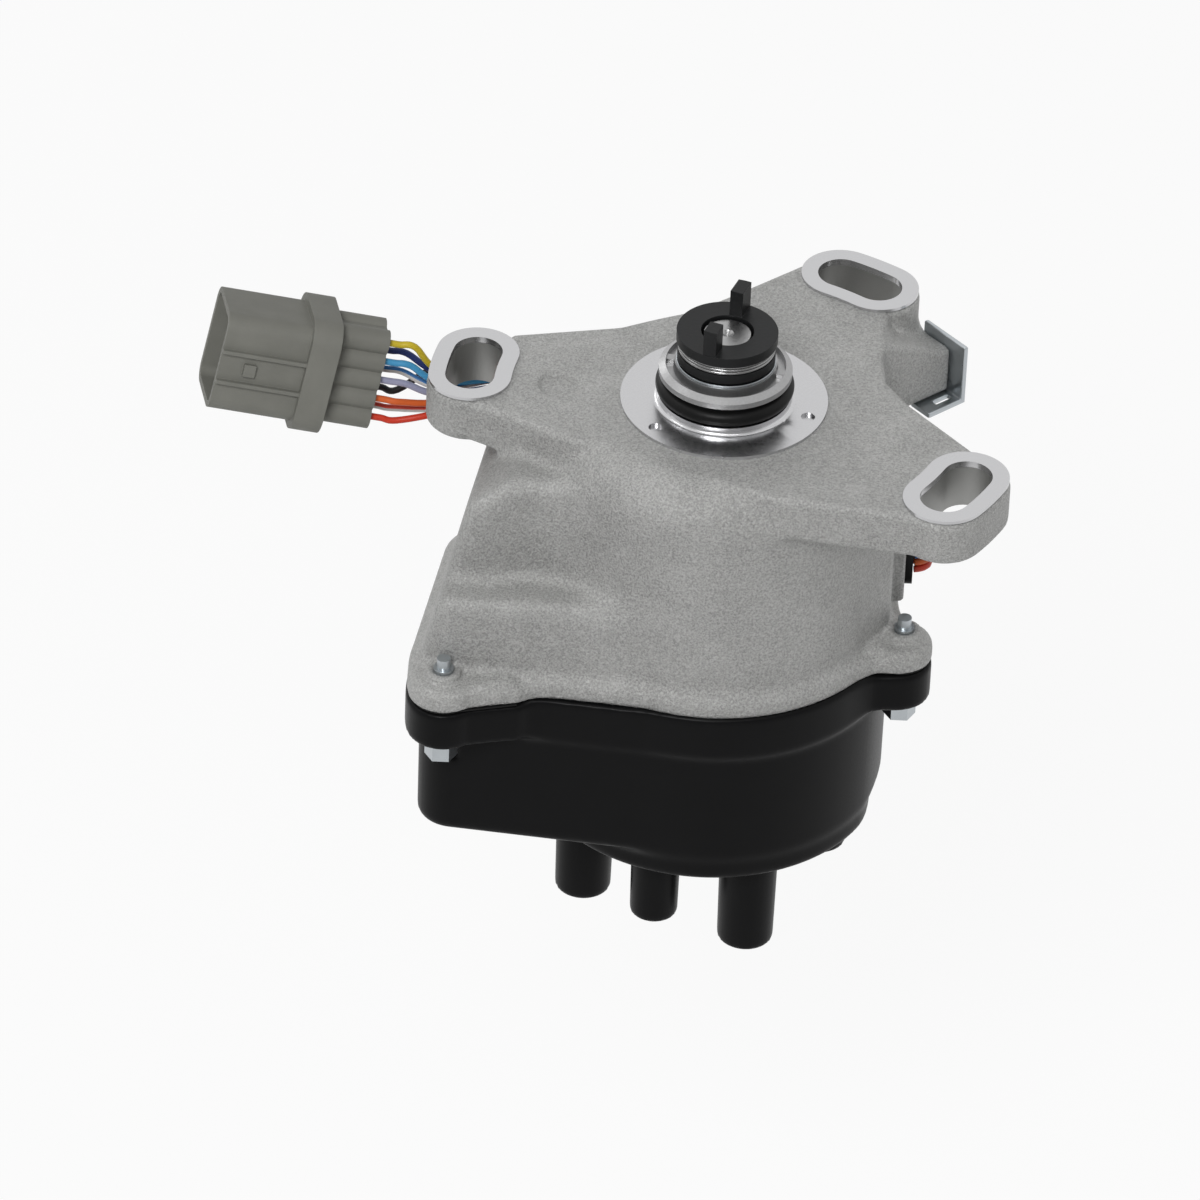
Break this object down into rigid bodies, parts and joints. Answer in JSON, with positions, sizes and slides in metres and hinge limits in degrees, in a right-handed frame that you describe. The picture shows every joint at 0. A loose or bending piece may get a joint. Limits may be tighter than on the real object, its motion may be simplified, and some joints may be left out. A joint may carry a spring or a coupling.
{
  "type": "ignition distributor",
  "caption": "Engine ignition distributor: cast body with slotted ears and a sealed spigot, offset-dog drive, black cap with lead towers, and a short loom with a plug.",
  "frame": {"origin": "on the shaft axis, in the plane of the machined mounting face", "axes": "+Z along the shaft, out of the spigot towards the engine; +X from the coil chamber to the harness outlet; +Y to the back, away from the cap screws in front"},
  "size_m": [0.1978, 0.1145, 0.168],
  "materials": {
    "cast_aluminium": "shot-blasted casting, machined pads and spigot",
    "black_rubber": "moulded",
    "bronze": "sintered, oiled",
    "bearing_steel": "ground",
    "brass": "pressed",
    "spring_steel": "drawn wire",
    "ground_steel": "ground",
    "zinc_steel": "zinc plated",
    "blackened_steel": "black oxide",
    "sintered_steel": "sintered",
    "core_steel": "stacked sheet",
    "brown_plastic": "glass filled",
    "black_plastic": "moulded",
    "cap_plastic": "moulded, satin",
    "cast_terminal": "die cast",
    "carbon": "sintered carbon",
    "grey_plastic": "moulded, fine grained",
    "tinned_brass": "tinned",
    "orange_rubber": "moulded",
    "white_plastic": "moulded",
    "lead_black": "extruded sleeve",
    "lead_dark_blue": "extruded sleeve",
    "lead_blue_white": "extruded sleeve with a pale stripe",
    "lead_yellow": "extruded sleeve",
    "lead_light_blue": "extruded sleeve",
    "lead_orange": "extruded sleeve",
    "lead_grey": "extruded sleeve",
    "lead_red": "extruded sleeve",
    "lead_red_white": "extruded sleeve with a pale stripe"
  },
  "bodies": {
    "stator": {"housing": "cast_aluminium", "spigot_o_ring": "black_rubber", "shaft_bush": "bronze", "shaft_seal": "black_rubber", "bearing_outer_ring": "bearing_steel", "bearing_clip": "spring_steel", "pickup_plate": "zinc_steel", "pickup_coils": "brown_plastic", "pickup_poles": "sintered_steel", "pickup_screws": "zinc_steel", "ignition_coil": "black_plastic", "coil_core": "core_steel", "coil_screws": "zinc_steel", "coil_contact_spring": "spring_steel", "igniter_module": "black_plastic", "igniter_screws": "zinc_steel", "dust_cover": "black_plastic", "dust_cover_screws": "zinc_steel", "cap_gasket": "black_rubber", "distributor_cap": "cap_plastic", "cap_terminals": "cast_terminal", "centre_lead_strip": "brass", "button_spring": "spring_steel", "cap_screws": "zinc_steel", "harness_grommet": "black_rubber", "harness_bracket": "zinc_steel", "bracket_screw": "zinc_steel", "connector_shell": "grey_plastic", "connector_terminals": "tinned_brass", "connector_seals": "orange_rubber", "connector_retainer": "white_plastic", "lead_black": "lead_black", "lead_dark_blue": "lead_dark_blue", "lead_blue_white": "lead_blue_white", "lead_yellow": "lead_yellow", "lead_light_blue": "lead_light_blue", "lead_orange": "lead_orange", "lead_grey": "lead_grey", "lead_red": "lead_red", "lead_red_white": "lead_red_white"},
    "shaft": {"drive_shaft": "ground_steel", "bearing_inner_ring": "bearing_steel", "thrust_washer": "zinc_steel", "coupling_pin": "ground_steel", "crank_angle_wheel": "sintered_steel", "top_centre_wheel": "sintered_steel", "cylinder_wheel": "sintered_steel", "wheel_clip": "spring_steel", "rotor_body": "brown_plastic", "rotor_electrode": "brass", "rotor_screw": "zinc_steel"},
    "cage": {"bearing_cage": "brass", "bearing_balls": "bearing_steel"},
    "coupling": {"drive_coupling": "blackened_steel", "pin_retaining_spring": "spring_steel"},
    "button": {"carbon_button": "carbon"}
  },
  "joints": [
    {"name": "shaft_spin", "type": "hinge", "parent": "stator", "child": "shaft", "pos_m": [0, 0, 0], "axis": [0, 0, 1], "continuous": true},
    {"name": "cage_spin", "type": "hinge", "parent": "stator", "child": "cage", "pos_m": [0, 0, 0], "axis": [0, 0, 1], "continuous": true},
    {"name": "coupling_rock", "type": "hinge", "parent": "shaft", "child": "coupling", "pos_m": [0, 0, 0.0157], "axis": [1, 0, 0], "range_deg": [-1.5, 1.5]},
    {"name": "button_slide", "type": "slide", "parent": "stator", "child": "button", "axis": [0, 0, -1], "range_m": [0, 0.0015], "stiffness_N_per_m": 150, "springref_m": -0.004, "deforming": ["button_spring"]}
  ],
  "couplings": [
    {"joint": "cage_spin", "follows": "shaft_spin", "ratio": 0.3678}
  ]
}
